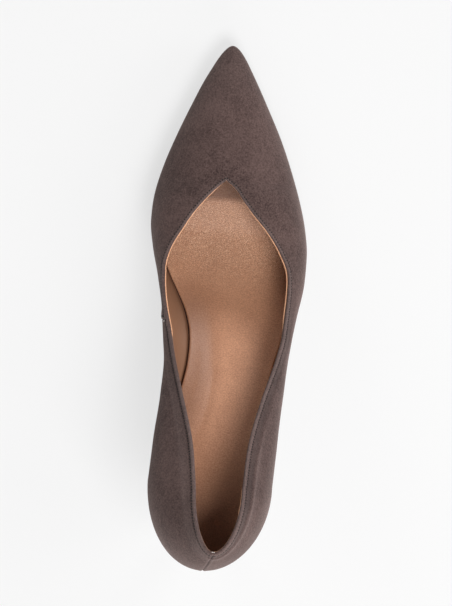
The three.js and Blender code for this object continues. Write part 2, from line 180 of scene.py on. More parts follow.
def seatHeight(x, y):
    along = alongAt(y)
    outward = min(1, abs(x / across(featherRows, -1 if x < 0 else 1, along)))
    arch = last["archRise"] * readRows(archShare, along) if x < 0 else 0
    dish = last["heelDish"] * (1 - ramp(along, 0.2, 0.34))
    return seatLine(along) + (arch + dish) * outward**2


# A station is (zone, turn, along, side). Turn goes from 0 to 1 round the heel and round the toe.
zoneLengths = {"heel": 46, "side": 147, "vamp": 58, "toe": 11}  # in mm, for the number of stations
backCrowding = 1.35  # above 1, the stations crowd towards the back seam


def sideStations(side, perMm, extra=()):
    count = {zone: round(length * perMm) for zone, length in zoneLengths.items()}

    def spread(zone, low, high):
        return [(zone, 0, lerp(low, high, i / count[zone]), side) for i in range(count[zone])]

    around = [("heel", (i / count["heel"]) ** backCrowding, last["heelCentre"], side)
              for i in range(count["heel"])]
    quarter = spread("side", last["heelCentre"], last["throat"])
    quarter += [("side", 0, along, side) for along in extra]
    quarter.sort(key=lambda station: station[2])
    vamp = spread("vamp", last["throat"], last["toeCentre"])
    toe = [("toe", i / count["toe"], last["toeCentre"], side) for i in range(count["toe"] + 1)]
    return around + quarter + vamp + toe


def circuitOf(perMm, innerExtra=()):  # toe tip, inner side, back seam, outer side, toe tip
    inner = sideStations(-1, perMm, innerExtra)
    return inner[:0:-1] + sideStations(1, perMm)


def isOpen(station):
    return station[0] in ("heel", "side")


def planPoint(line, station):
    zone, turn, along, side = station
    x = across(line["rows"], side, along)
    if zone == "heel":
        other = across(line["rows"], -side, along)
        sideways = math.sin(turn * math.pi / 2)
        middle = lerp(line["backAcross"] * last["heelWidth"], (x + other) / 2, sideways**2)
        back = (along - line["backAlong"]) * math.cos(turn * math.pi / 2)
        return Vector((middle + (x - other) / 2 * sideways, yAt(along - back), 0))
    if zone == "toe":
        left = 1 - turn
        narrowing = last["noseFullness"] * left + (1 - last["noseFullness"]) * left**2
        return Vector((x * narrowing, yAt(line["tip"] - (line["tip"] - along) * left**2), 0))
    return Vector((x, yAt(along), 0))


def rimPoint(station):
    return planPoint(edge, station) if isOpen(station) else Vector((0, yAt(station[2]), 0))


def spinePoint(station):
    along = station[2]
    middle = (across(featherRows, -1, along) + across(featherRows, 1, along)) / 2
    return Vector((middle * ramp(last["toeCentre"] - along, 0, 0.05), yAt(along), 0))


def rimForm(station):  # height of the rim, and how far the wall leans there
    along = alongAt(rimPoint(station).y)
    if not isOpen(station):
        return readRows(ridgeShare, along) * last["throatHeight"], math.pi / 2
    column = columnOf(station[3])
    scale = lerp(last["counterHeight"], last["throatHeight"],
                 ramp(along, last["heelCentre"], last["treadBack"]))
    lean = math.radians(readRows(leanRows, along, column))
    return readRows(heightRows, along, column) * scale, lean


def ridgeZ(along, share):
    return seatLine(along) + share * last["throatHeight"]


nearPole, pole = ridgeShare[-2:]
ridgeFall = (ridgeZ(*pole) - ridgeZ(*nearPole)) / (yAt(pole[0]) - yAt(nearPole[0]))


def raised(plan, z):
    return Vector((plan.x, plan.y, z))


def bezier(points, t):
    a, b, c, d = points
    s = 1 - t
    return a * s**3 + b * (3 * s * s * t) + c * (3 * s * t * t) + d * t**3


curve = {
    "straightHandle": 1 / 3,
    "ellipseHandle": 0.5523,
    "marginShare": 0.7,  # of the way to the spine, the most that the margin turns in
    "footLift": 0.2,  # how soon the low wall rises from the sole's edge
    "bulgeDrop": 0.55,  # how far down its upright part starts
    "samples": 48,
}


# The curves of one section of the upper, this deep under its outer face: the end of the lasting
# margin, the low wall and the high wall.
def sectionCurves(station, depth):
    foot, wide, rim = planPoint(feather, station), planPoint(widest, station), rimPoint(station)
    top, lean = rimForm(station)
    upright, level = math.cos(lean), math.sin(lean)
    inward = (rim - wide).normalized()
    footInward = spinePoint(station) - foot
    margin = min(wall["margin"], curve["marginShare"] * footInward.length)
    footInward.normalize()
    seam, corner = foot + footInward * margin, foot + footInward * depth
    bulge, lip = wide + inward * depth, rim + inward * depth * upright
    rise = readRows(riseRows, alongAt(wide.y), columnOf(station[3])) * last["counterHeight"]
    cornerZ = seatHeight(corner.x, corner.y) + depth
    bulgeZ = seatLine(alongAt(wide.y)) + rise
    lipZ = seatLine(alongAt(rim.y)) + top - depth * level
    low = (raised(corner, cornerZ),
           raised(corner.lerp(bulge, 0.5), lerp(cornerZ, bulgeZ, curve["footLift"])),
           raised(bulge, lerp(cornerZ, bulgeZ, curve["bulgeDrop"])), raised(bulge, bulgeZ))
    handle = lerp(curve["straightHandle"], curve["ellipseHandle"], level**2)
    reach = handle * ((lip - bulge).length * level + (lipZ - bulgeZ) * upright)
    fall = 0 if isOpen(station) else handle * ridgeFall * (wide.y - rim.y)
    high = (raised(bulge, bulgeZ), raised(bulge, lerp(bulgeZ, lipZ, handle) + fall),
            raised(lip - inward * reach * level, lipZ - reach * upright + fall), raised(lip, lipZ))
    return raised(seam, seatHeight(seam.x, seam.y) + depth), low, high


# Points of the high wall at set distances from the rim, then evenly down to the widest line. Where
# the wall is shorter than its full height, the distances shrink with it.
def highWall(high, near, spread, full):
    count = curve["samples"]
    samples = [bezier(high, 1 - i / count) for i in range(count + 1)]
    lengths = [0]
    for a, b in zip(samples, samples[1:]):
        lengths.append(lengths[-1] + (b - a).length)
    shrink = min(1, lengths[-1] / full)
    wanted = [d * shrink for d in near]
    wanted += [lerp(wanted[-1], lengths[-1], (i + 1) / spread) for i in range(spread)]
    points, at = [], 0
    for d in wanted:
        while at < count - 1 and lengths[at + 1] < d:
            at += 1
        t = (d - lengths[at]) / max(1e-9, lengths[at + 1] - lengths[at])
        points.append(bezier(high, 1 - (at + min(1, t)) / count))
    return points, wanted


# Frames along the topline: the outer lip, the way along it, out of the wall, and into the opening.
def toplineFrames(stations):
    lips, rises = [], []
    for station in stations:
        high = sectionCurves(station, 0)[2]
        lips.append(high[3])
        rises.append((high[3] - high[2]).normalized())
    frames = []
    for i, (lip, rise) in enumerate(zip(lips, rises)):
        way = (lips[min(i + 1, len(lips) - 1)] - lips[max(i - 1, 0)]).normalized()
        into = (rise - way * rise.dot(way)).normalized()
        frames.append([lip, way, way.cross(into).normalized(), into])
    for i in (2, 3):
        mean = (frames[0][i] + frames[-1][i]).normalized()
        frames[0][i] = frames[-1][i] = mean
    return frames


# The rolled rim: pullBack is how far its centre lies under the lip, and blend how far down the wall
# the roll still moves it.
rim = {"radius": wall["thickness"] / 2, "pullBack": 0.85, "blend": 6, "steps": 8}


def rimPointAt(rimFrame, angle):
    lip, way, out, into = rimFrame
    centre = lip - out * rim["radius"] - into * rim["pullBack"]
    return centre + (out * math.cos(angle) + into * math.sin(angle)) * rim["radius"]


def gridInto(bm, points):  # a grid whose vertices take their places from points[column][row]
    columns, rows = len(points) - 1, len(points[0]) - 1
    made = bmesh.ops.create_grid(bm, x_segments=columns, y_segments=rows, size=1)["verts"]
    for vert in made:
        i = round((vert.co.x + 1) / 2 * columns)
        j = round((vert.co.y + 1) / 2 * rows)
        vert.co = points[i][j] * mm
    return made


# How far the leather is darkened with painted shade: deep in the heel cup, and in the shade under
# the throat.
paintedShadeRows = [
    (0, 0.5), (0.06, 0.44), (0.1, 0.32), (0.13, 0.32), (0.16, 0.36), (0.2, 0.28), (0.25, 0.15),
    (0.32, 0),
]
throatShade = {"depth": 0.82, "start": last["throat"] - 0.043, "full": last["throat"] - 0.027}


def paintShadeOnLeather(bm):
    paintedShade = bm.verts.layers.float.new("paintedShade")
    for vert in bm.verts:
        along = alongAt(vert.co.y / mm)
        shade = throatShade["depth"] * ramp(along, throatShade["start"], throatShade["full"])
        vert[paintedShade] = readRows(paintedShadeRows, along) + shade


def weld(bm):
    bmesh.ops.remove_doubles(bm, verts=bm.verts, dist=1e-6)
    bmesh.ops.dissolve_degenerate(bm, edges=bm.edges, dist=1e-7)
    bmesh.ops.recalc_face_normals(bm, faces=bm.faces)


def pieceFrom(bm, name, material, sharp=40):  # sharp: degrees beyond which an edge is crisp
    if bm.calc_volume(signed=True) < 0:
        bmesh.ops.reverse_faces(bm, faces=bm.faces)
    for face in bm.faces:
        face.smooth = True
    mesh = bpy.data.meshes.new(name)
    bm.to_mesh(mesh)
    bm.free()
    mesh.set_sharp_from_angle(angle=math.radians(sharp))
    piece = bpy.data.objects.new(name, mesh)
    bpy.context.scene.collection.objects.link(piece)
    mesh.materials.append(material)
    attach(piece, "root")
    print(name, len(mesh.polygons), "faces")
    return piece


# Materials. A Value wraps an output socket, and sums and products of Values add Math nodes.
class Value:
    def __init__(self, look, socket):
        self.look, self.socket = look, socket

    def math(self, operation, first, second):
        return self.look.add("ShaderNodeMath", {"operation": operation}, {0: first, 1: second})

    def __add__(self, other):
        return self.math("ADD", self, other)

    def __radd__(self, other):
        return self.math("ADD", other, self)

    def __sub__(self, other):
        return self.math("SUBTRACT", self, other)

    def __rsub__(self, other):
        return self.math("SUBTRACT", other, self)

    def __mul__(self, other):
        return self.math("MULTIPLY", self, other)

    def __rmul__(self, other):
        return self.math("MULTIPLY", other, self)


class Look:  # one material; its even numbers and colours are set on the shader itself
    def __init__(self, name, sockets):
        self.material = bpy.data.materials.new(name)
        self.material.use_nodes = True
        self.tree = self.material.node_tree
        self.shader = self.tree.nodes["Principled BSDF"]
        for key, value in sockets.items():
            self.shader.inputs[key].default_value = value

    def add(self, kind, settings=None, sockets=None, output=0):
        made = self.tree.nodes.new(kind)
        for key, value in (settings or {}).items():
            setattr(made, key, value)
        for key, value in (sockets or {}).items():
            if isinstance(value, Value):
                self.tree.links.new(value.socket, made.inputs[key])
            else:
                made.inputs[key].default_value = value
        return Value(self, made.outputs[output])

    def feed(self, socket, value):
        self.tree.links.new(value.socket, self.shader.inputs[socket])

    def place(self, stretch=(1, 1, 1), turn=(0, 0, 0)):
        place = self.add("ShaderNodeTexCoord", output=3)
        return self.add("ShaderNodeMapping", {}, {
            "Vector": place, "Rotation": turn, "Scale": stretch})

    def noise(self, place, scale, detail=2, roughness=0.5, distortion=0.0):
        return self.add("ShaderNodeTexNoise", {}, {
            "Vector": place, "Scale": scale, "Detail": detail, "Roughness": roughness,
            "Distortion": distortion})

    def attribute(self, name):
        return self.add("ShaderNodeAttribute", {"attribute_name": name}, output=2)

    def clamp(self, value):
        return self.add("ShaderNodeClamp", {}, {0: value})

    def mix(self, share, first, second):
        first, second = (v if isinstance(v, Value) else (*v, 1) for v in (first, second))
        return self.add("ShaderNodeMix", {"data_type": "RGBA"}, {0: share, 6: first, 7: second}, 2)

    def bump(self, height, strength, distance):
        self.feed("Normal", self.add("ShaderNodeBump", {}, {
            "Strength": strength, "Distance": distance, "Height": height}))


suedeLook = {
    "dark": (0.034, 0.0200, 0.0184),
    "light": (0.112, 0.0718, 0.0650),
    "rubAndHighlight": (0.200, 0.155, 0.145),
    "paintedGrooveShade": (0.010, 0.006, 0.006),
    "cloudScale": 34,
    "strokeScale": 420,
    "grainScale": 1150,
    "fibreScale": 4200,
}


def makeSuede(name, wornAndShaded):
    look = Look(name, {
        "Specular IOR Level": 0.10, "Sheen Weight": 0.22, "Sheen Roughness": 0.5,
        "Sheen Tint": (0.80, 0.66, 0.62, 1)})
    place = look.place()
    cloud = look.noise(place, suedeLook["cloudScale"], 3, 0.55, 0.6)
    stroke = look.noise(look.place((1, 0.45, 1), (0, 0, 0.35)), suedeLook["strokeScale"], 3, 0.6)
    grain = look.noise(place, suedeLook["grainScale"], 3, 0.75)
    nap = (cloud - 0.5) * 1.15 + (stroke - 0.5) * 0.65 + (grain - 0.5) * 2.7 + 0.5
    colour = look.mix(look.clamp(nap), suedeLook["dark"], suedeLook["light"])
    # Painted light: above 0 the nap is drawn paler, as rubbed nap and painted highlight, and below
    # 0 darker, as painted shade.
    if wornAndShaded:
        wearAndShading = look.attribute("wearAndShading")
        colour = look.mix(look.clamp(wearAndShading * (0.55 + grain * 0.9)), colour, suedeLook["rubAndHighlight"])
        colour = look.mix(look.clamp(wearAndShading * -1.0), colour, suedeLook["paintedGrooveShade"])
    look.feed("Base Color", colour)
    look.feed("Roughness", 0.86 + stroke * 0.12)
    fibre = look.noise(place, suedeLook["fibreScale"], 2, 0.6)
    look.bump(grain * 0.9 + stroke * 0.7 + fibre * 0.4, 0.6, 0.0003)
    return look.material


# Smooth or pebbled leather. Speckle is how far its grain shows in the colour, and the
# pearl-and-sheen colour that of the pale specks, part grain and part painted sheen, where the
# piece's attribute of that name is set.
def makeLeather(name, settings):
    dark, grainScale = settings["dark"], settings["grainScale"]
    look = Look(name, {"Specular IOR Level": 0.4, "Coat Weight": settings["coat"],
                       "Coat Roughness": 0.35})
    place = look.place()
    cloud = look.noise(place, 38, 3, 0.5, 0.4)
    fleck = look.noise(place, grainScale * 0.9, 3, 0.65)
    pores = look.add("ShaderNodeTexVoronoi", {"feature": "SMOOTH_F1"},
                     {"Vector": place, "Scale": grainScale, "Smoothness": 0.6})
    tone = (cloud - 0.5) * 0.8 + (fleck - 0.5) * settings["speckle"] + 0.5
    colour = look.mix(look.clamp(tone), dark, settings["light"])
    if "pearlGrainAndSheen" in settings:
        shown = look.attribute("pearlGrainAndSheen") * (look.noise(place, grainScale * 1.5, 2, 0.6) - 0.5)
        colour = look.mix(look.clamp(shown * 4.6), colour, settings["pearlGrainAndSheen"])
        colour = look.mix(look.clamp(shown * -3.6), colour, tuple(c * 0.45 for c in dark))
    # Painted shade: the colour darkens towards the shade colour where the piece's shade attribute
    # is set.
    if "paintedShade" in settings:
        colour = look.mix(look.attribute("paintedShade") * (0.85 + cloud * 0.3), colour, settings["paintedShade"])
    look.feed("Base Color", colour)
    look.feed("Roughness", settings["gloss"] + (fleck - 0.5) * 0.2 + (cloud - 0.5) * 0.12)
    look.bump(pores * 0.6 + fleck * 0.5, settings["relief"], 0.0002)
    return look.material


def makeRubber(name, dark, light, roughness):
    look = Look(name, {"Specular IOR Level": 0.45})
    place = look.place()
    cloud = look.noise(place, 90, 3)
    fine = look.noise(place, 1800, 2)
    look.feed("Base Color", look.mix(look.clamp((cloud - 0.5) * 1.2 + 0.5), dark, light))
    look.feed("Roughness", roughness + (fine - 0.5) * 0.2)
    look.bump(fine, 0.3, 0.00008)
    return look.material


suede = makeSuede("suede", True)
heelSuede = makeSuede("heel suede", False)
liningLeather = makeLeather("lining leather", {
    "dark": (0.20, 0.096, 0.052), "light": (0.26, 0.130, 0.075), "paintedShade": (0.064, 0.024, 0.00988),
    "grainScale": 900, "speckle": 0.3, "gloss": 0.5, "coat": 0.0, "relief": 0.2})
footbedLeather = makeLeather("footbed leather", {
    "dark": (0.37, 0.172, 0.096), "light": (0.64, 0.330, 0.195), "paintedShade": (0.1184, 0.043, 0.01824),
    "pearlGrainAndSheen": (0.82, 0.56, 0.40),
    "grainScale": 1700, "speckle": 2.4, "gloss": 0.42, "coat": 0.06, "relief": 0.7})
rawLeather = makeLeather("raw leather edge", {
    "dark": (0.56, 0.25, 0.13), "light": (0.88, 0.52, 0.32),
    "grainScale": 2400, "speckle": 1.5, "gloss": 0.8, "coat": 0.0, "relief": 0.4})
soleResin = makeRubber("sole resin", (0.030, 0.020, 0.016), (0.050, 0.035, 0.028), 0.42)
heelRubber = makeRubber("heel rubber", (0.012, 0.010, 0.009), (0.026, 0.022, 0.020), 0.6)
thread = makeRubber("thread", (0.004, 0.003, 0.003), (0.010, 0.007, 0.006), 0.85)
paleThreadAndGlints = makeRubber("pale thread and glints", (0.45, 0.40, 0.38), (0.60, 0.55, 0.52), 0.6)
print("materials made")


# Upper: outer face, rolled rim, inner face and lasting margin, as one closed wall.
upper = {
    "perMm": 0.95,
    "fullWall": 24,  # where the high wall is shorter than this, its rows near the rim close up
    "sideSeam": 0.462,  # place of the seam at the inner side
    "seamStep": 0.4,
    "stitchLine": 1.05,  # from the start of the rolled rim
    "throatStitchLine": 0.3,
    "tapeLine": 6.6,  # edge of the strengthening tape under the suede
    "outerBend": 1.2,  # rounding at the sole's edge, outside and inside
    "innerBend": 0.5,
    "rimRubAndHighlight": 0.26,
}
seamExtra = [upper["sideSeam"] + i * 0.0011 for i in range(-7, 8)]
circuit = circuitOf(upper["perMm"], seamExtra)
openSpan = [i for i, station in enumerate(circuit) if isOpen(station)]
firstOpen, lastOpen = openSpan[0] - 1, openSpan[-1] + 1  # with the throat's own stations
rimFrames = toplineFrames([("side", 0, s[2], s[3]) if s[0] == "vamp" else s
                           for s in circuit[firstOpen:lastOpen + 1]])
outerNear = [0.4 * i for i in range(11)] + [4 + 0.8 * (i + 1) for i in range(12)]
innerNear = [1.5 * i for i in range(8)]


def rimShift(index, angle, depth):  # how far the rolled rim moves the end of a section
    at = min(max(index, firstOpen), lastOpen)
    rimFrame = rimFrames[at - firstOpen]
    plain = sectionCurves(circuit[at], depth)[2][3]
    away = abs(rimPoint(circuit[index]).y - rimPoint(circuit[at]).y)
    return (rimPointAt(rimFrame, angle) - plain) * max(0, 1 - away / rim["blend"]) ** 2


# The high wall from the widest line up to the rolled rim, which is met at this angle and depth.
def rolledWall(index, high, near, spread, angle, depth):
    points, distances = highWall(high, near, spread, upper["fullWall"])
    shift = rimShift(index, angle, depth)
    for i, distance in enumerate(distances):
        points[i] = points[i] + shift * max(0, 1 - distance / rim["blend"]) ** 2
    return points[::-1]


def faceSection(index, depth, angle, near, spread, lowCount):
    seam, low, high = sectionCurves(circuit[index], depth)
    wallLow = [bezier(low, i / lowCount) for i in range(lowCount)]
    bend = upper["outerBend"] if depth == 0 else upper["innerBend"]
    rise = wallLow[1] - low[0]
    before = low[0] + (seam - low[0]).normalized() * bend
    after = low[0] + rise.normalized() * min(bend, rise.length * 0.8)
    corner = [before.lerp(low[0], t).lerp(low[0].lerp(after, t), t) for t in (0, 0.33, 0.67, 1)]
    return [seam, seam.lerp(before, 0.5), *corner, *wallLow[1:],
            *rolledWall(index, high, near, spread, angle, depth)]


outerFace = [faceSection(i, 0, 0, outerNear, 14, 12) for i in range(len(circuit))]
innerFace = [faceSection(i, wall["thickness"], math.pi, innerNear, 6, 5)
             for i in range(len(circuit))]
roll = [[rimPointAt(rimFrame, math.pi * j / rim["steps"]) for j in range(rim["steps"] + 1)]
        for rimFrame in rimFrames]
print("upper sections worked out")


def treeOf(points):
    tree = KDTree(len(points))
    for i, point in enumerate(points):
        tree.insert(point, i)
    tree.balance()
    return tree


def densePoints(points, step=0.25):
    dense = []
    for a, b in zip(points, points[1:]):
        count = max(1, round((b - a).length / step))
        dense += [a.lerp(b, i / count) for i in range(count)]
    return dense + [points[-1]]


def stitchLineAt(along):
    return lerp(upper["stitchLine"], upper["throatStitchLine"], ramp(along, 0.48, 0.62))


backIndex = next(i for i, s in enumerate(circuit) if s[0] == "heel" and s[1] == 0)
seamIndex = min((i for i, s in enumerate(circuit) if s[0] == "side" and s[3] < 0),
                key=lambda i: abs(circuit[i][2] - upper["sideSeam"]))
backLine, seamLine = outerFace[backIndex], outerFace[seamIndex]
lipTree = treeOf([rimPointAt(rimFrame, 0) for rimFrame in rimFrames])
backTree = treeOf(densePoints(backLine[5:]))  # from above the sole's edge
seamTree = treeOf(densePoints(seamLine[5:]))

# Marks on the suede, as bells: middle and width in mm from the rim or a seam, height in mm, and
# painted light: above 0 the nap is drawn paler, as a painted highlight along the tape's ridge and
# beside the seams, below 0 it is drawn darker, as painted shade in the hollow and the seam grooves.
marks = {
    "tape": ((upper["tapeLine"] - 0.2, 0.8, 0.22, 0.34), (10, 2.6, -0.22, 0)),
    "hollow": ((3.8, 1.3, -0.22, 0), (3.2, 2.2, 0, -0.42)),
    "backSeam": ((1.0, 0.5, 0.14, 0), (0, 0.35, -0.38, 0), (0.9, 0.4, 0, 0.25), (0, 0.3, 0, -0.9)),
    "sideSeam": ((1.4, 0.35, -0.15, 0), (-0.3, 0.3, -0.12, 0), (0.4, 0.3, 0, 0.35),
                 (-0.35, 0.3, 0, -0.8)),
}
# How the strip outside the stitches and the groove under them stand out: the raised strip is drawn
# paler, a painted highlight, and the sunk groove darker, a painted shade.
strip = {"height": 0.06, "wearAndShading": 0.24, "fade": 0.6}
groove = {"width": 0.36, "height": -0.2, "frontShade": -0.12, "backShade": -0.32}
markReach = {"rim": 18, "backSeam": 4, "sideSeam": 6, "backSeamAlong": 0.1}  # where marks end
innerShare = 0.3  # the inner side's marks, as a share of the outer side's


def markSum(kind, distance):  # as a vector of height and painted light on the nap
    total = Vector((0, 0))
    for middle, width, height, wearAndShading in marks[kind]:
        total += Vector((height, wearAndShading)) * bell(distance, middle, width)
    return total


def rimMarks(distance, along, outer):
    line = stitchLineAt(along)
    quarter = 1 - ramp(along, 0.42, 0.56)
    share = 1 if outer else innerShare
    outside = 1 - ramp(distance, line, line + strip["fade"])
    relief = Vector((strip["height"], strip["wearAndShading"])) * outside
    paintedGrooveShade = lerp(groove["frontShade"], groove["backShade"], quarter)
    relief += Vector((groove["height"], paintedGrooveShade)) * bell(distance, line, groove["width"])
    relief += markSum("tape", distance) * (1 - ramp(along, 0.2, 0.31)) * share
    relief += markSum("hollow", distance) * quarter * share
    if not outer:  # a paler band under the stitches
        band = ramp(distance, line + 0.4, line + 1.2) * (1 - ramp(distance, 5.2, 6.6))
        relief.y += 0.2 * quarter * band
    return relief


def suedeRelief(point):  # height of the surface detail in mm, and the painted light on the nap: paler for rub and painted highlight, darker for painted shade
    along, outer = alongAt(point.y), point.x > 0
    relief = Vector((0, 0.08 * ramp(along, 0.84, 0.97)))
    distance = lipTree.find(point)[2]
    if distance < markReach["rim"]:
        relief += rimMarks(distance, along, outer)
    # On the outer side: a painted highlight at the back of the heel, and a band of painted shade
    # ahead of it.
    if outer:
        relief.y += 0.1 * (1 - ramp(along, 0.02, 0.09)) - 0.09 * bell(along, 0.17, 0.09)
    back = backTree.find(point)[2]
    if back < markReach["backSeam"] and along < markReach["backSeamAlong"]:
        relief += markSum("backSeam", back)
    seam = seamTree.find(point)[2]
    if seam < markReach["sideSeam"] and point.x < 0:
        ahead = seam if along > upper["sideSeam"] else -seam
        relief += markSum("sideSeam", ahead)
        relief.x += upper["seamStep"] * ramp(ahead, -0.25, 0.25) * (1 - ramp(ahead, 2, 6))
    return relief


def makeUpper():
    bm = bmesh.new()
    wearAndShading = bm.verts.layers.float.new("wearAndShading")
    gridInto(bm, outerFace)
    gridInto(bm, roll)
    gridInto(bm, innerFace)
    gridInto(bm, [[a[0], b[0]] for a, b in zip(outerFace, innerFace)])
    weld(bm)
    bm.normal_update()
    skin = treeOf([point for section in outerFace for point in section])
    reliefs = {}
    # The rolled rim and the top of the inner face are drawn paler: rubbed nap and a painted
    # highlight.
    for vert in bm.verts:
        point = vert.co / mm
        if skin.find(point)[2] > 0.01:  # not on the outer face
            vert[wearAndShading] = upper["rimRubAndHighlight"] * (1 - ramp(lipTree.find(point)[2], 0.5, 1.5))
        else:
            reliefs[vert] = suedeRelief(point)
    for vert, (height, wornAndShaded) in reliefs.items():
        vert.co += vert.normal * height * mm
        vert[wearAndShading] = wornAndShaded
    return bm


upperMesh = makeUpper()
skinTree = BVHTree.FromBMesh(upperMesh)
upperPiece = pieceFrom(upperMesh, "upper_suede", suede, 60)
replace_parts(upperPiece, "upper")


# Lining: a thin shell on the inner face, from under the footbed to the rim.
lining = {"thickness": 0.3, "clearance": 0.03, "near": [1.4 * i for i in range(8)], "spread": 8,
          "lowCount": 6}


def liningSection(index, depth):
    low, high = sectionCurves(circuit[index], depth)[1:]
    count = lining["lowCount"]
    return [*(bezier(low, i / count) for i in range(count)),
            *rolledWall(index, high, lining["near"], lining["spread"], math.pi, wall["thickness"])]


def makeLining():
    back = wall["thickness"] + lining["clearance"]
    faces = [[liningSection(i, depth) for i in range(len(circuit))]
             for depth in (back, back + lining["thickness"])]
    openFaces = [face[firstOpen:lastOpen + 1] for face in faces]
    bm = bmesh.new()
    for face in faces:
        gridInto(bm, face)
    gridInto(bm, [[a[0], b[0]] for a, b in zip(*faces)])
    gridInto(bm, [[a[-1], b[-1]] for a, b in zip(*openFaces)])
    weld(bm)
    paintShadeOnLeather(bm)
    pieceFrom(bm, "lining", liningLeather, 60)


makeLining()


# Raw edge of the lining: a narrow strip that stands just inside the rolled rim.
rawEdge = {
    "perMm": 2.6, "thickness": 0.5, "low": -2.8, "shown": 0.75, "hidden": -1.7,
    "notch": 0.35, "pitch": 1.45,
    "outerNotch": 0.12,  # as a share of the inner side's
    "clearance": 0.02,
}
# How far it stands out of hiding along the shoe. The two ends meet at the throat.
shownInner = [(0.06, 0.2), (0.10, 0), (0.40, 0.1), (0.45, 0.95), (0.5, 1), (0.7, 1), (0.735, 0.9)]
shownOuter = [
    (0.06, 0.5), (0.08, 0.62), (0.1, 0.3), (0.125, 0.8), (0.16, 0.78), (0.19, 0.15), (0.42, 0.1),
    (0.47, 0.85), (0.52, 1), (0.66, 1), (0.7, 0.92), (0.735, 0.9),
]


def makeRawEdge():
    fine = [s for s in circuitOf(rawEdge["perMm"]) if isOpen(s)]
    stations = [("side", 0, last["throat"], -1), *fine, ("side", 0, last["throat"], 1)]
    frames = toplineFrames(stations)
    points, walked = [], 0
    for i, (lip, way, out, into) in enumerate(frames):
        walked += (lip - frames[max(i - 1, 0)][0]).length
        inner, along = stations[i][3] < 0, alongAt(lip.y)
        shown = readRows(shownInner if inner else shownOuter, along)
        pinked = rawEdge["outerNotch"]
        if inner:
            pinked = ramp(along, 0.42, 0.46) * (1 - ramp(along, 0.6, 0.64))
        tooth = abs((walked / rawEdge["pitch"]) % 1 - 0.5) * 2
        notch = rawEdge["notch"] * pinked * tooth * ramp(last["throat"] - along, 0, 0.02)
        low, top = rawEdge["low"], lerp(rawEdge["hidden"], rawEdge["shown"], shown) - notch
        near = lip - out * (wall["thickness"] + rawEdge["clearance"]) - into * rim["pullBack"]
        far = near - out * rawEdge["thickness"]
        profile = ((0, low), (0, top - 0.1), (0.3, top), (0.8, top), (1, top - 0.12), (1, low),
                   (0, low))
        points.append([near.lerp(far, share) + into * height for share, height in profile])
    bm = bmesh.new()
    gridInto(bm, points)
    weld(bm)
    bmesh.ops.holes_fill(bm, edges=[e for e in bm.edges if e.is_boundary], sides=0)
    bmesh.ops.recalc_face_normals(bm, faces=bm.faces)
    return pieceFrom(bm, "lining_edge", rawLeather, 50)


makeRawEdge()


# Stitches: short sunk threads along the topline, down the side seam, and a bar on the back seam.
stitch = {
    "pitch": 1.45, "length": 0.78, "width": 0.85, "height": 0.46, "sink": -0.04,
    "start": 0.8,  # of the topline's row
    "aheadOfSeam": 1.4,
    "seamStart": 3.2,  # of the side seam's row
    "barSpots": (-0.75, 0.0, 0.75), "barDrop": 2.9, "barSize": (1.3, 1.7, 1.7), "barSink": -0.02,
}


def stitchAt(bm, place, way, size=(1, 1, 1), sink=stitch["sink"]):
    near, normal, _, _ = skinTree.find_nearest(place * mm)
    if normal.z < -0.6:  # under the shoe
        return
    forward = (way - normal * way.dot(normal)).normalized()
    aside = normal.cross(forward)
    turn = Matrix((forward, aside, normal)).transposed().to_4x4()
    scale = Matrix.Diagonal((stitch["length"] / 2 * size[0], stitch["width"] / 2 * size[1],
                             stitch["height"] / 2 * size[2], 1 / mm)) * mm
    put = Matrix.Translation(near - normal * sink * mm)
    bmesh.ops.create_uvsphere(bm, u_segments=8, v_segments=5, radius=1, matrix=put @ turn @ scale)


def walkLine(points, pitch, start=0.0):  # places at an even pitch along a line, with its direction
    walked, wanted = 0, start
    for a, b in zip(points, points[1:]):
        length = (b - a).length
        while walked + length >= wanted and length > 0:
            yield a.lerp(b, (wanted - walked) / length), (b - a).normalized()
            wanted += pitch
        walked += length


def makeStitches():
    bm = bmesh.new()
    topline = [rimPointAt(f, 0) - f[3] * stitchLineAt(alongAt(f[0].y)) for f in rimFrames]
    for place, way in walkLine(topline, stitch["pitch"], stitch["start"]):
        stitchAt(bm, place, way)
    ahead = Vector((0, stitch["aheadOfSeam"], 0))
    downSeam = [point + ahead for point in seamLine[:12:-1]]  # to above the sole's edge
    for place, way in walkLine(downSeam, stitch["pitch"], stitch["seamStart"]):
        stitchAt(bm, place, way)
    for aside in stitch["barSpots"]:
        place = backLine[-1] + Vector((aside, 0, -stitch["barDrop"]))
        stitchAt(bm, place, Vector((1, 0, 0)), stitch["barSize"], stitch["barSink"])
    pieceFrom(bm, "stitches", thread)


# A loose thread end at the top of the side seam, and pale specks on the inner edge round the back:
# painted glints.
endStitch = {"offset": (-1.6, -0.3, -2.0), "way": (0.6, 0.8, 0.2), "size": (1.5, 0.8, 1.2),
             "sink": -0.05}
paintedGlints = {"spots": ((-6, 0.9), (-4, 0.6), (-2, 1.0), (1, 0.7), (3, 0.5)),  # rim frame, length
          "angle": 2.3, "width": 0.6, "height": 0.9, "sink": -0.02}


def makeThreadEndAndGlints():
    bm = bmesh.new()
    stitchAt(bm, seamLine[-1] + Vector(endStitch["offset"]), Vector(endStitch["way"]),
             endStitch["size"], endStitch["sink"])
    for offset, length in paintedGlints["spots"]:
        rimFrame = rimFrames[backIndex - firstOpen + offset]
        stitchAt(bm, rimPointAt(rimFrame, paintedGlints["angle"]), rimFrame[1],
                 (length, paintedGlints["width"], paintedGlints["height"]), paintedGlints["sink"])
    pieceFrom(bm, "thread_end_and_glints", paleThreadAndGlints)


makeStitches()
makeThreadEndAndGlints()


# A point this far in from the sole's edge, moved by a share of the rest of the way to the spine, at
# this height above the seat.
def platePoint(station, inset, share, height):
    spine, foot = spinePoint(station), planPoint(feather, station)
    rimPlace = foot + (spine - foot).normalized() * inset
    plan = rimPlace.lerp(spine, share)
    return raised(plan, seatHeight(plan.x, plan.y) + height)


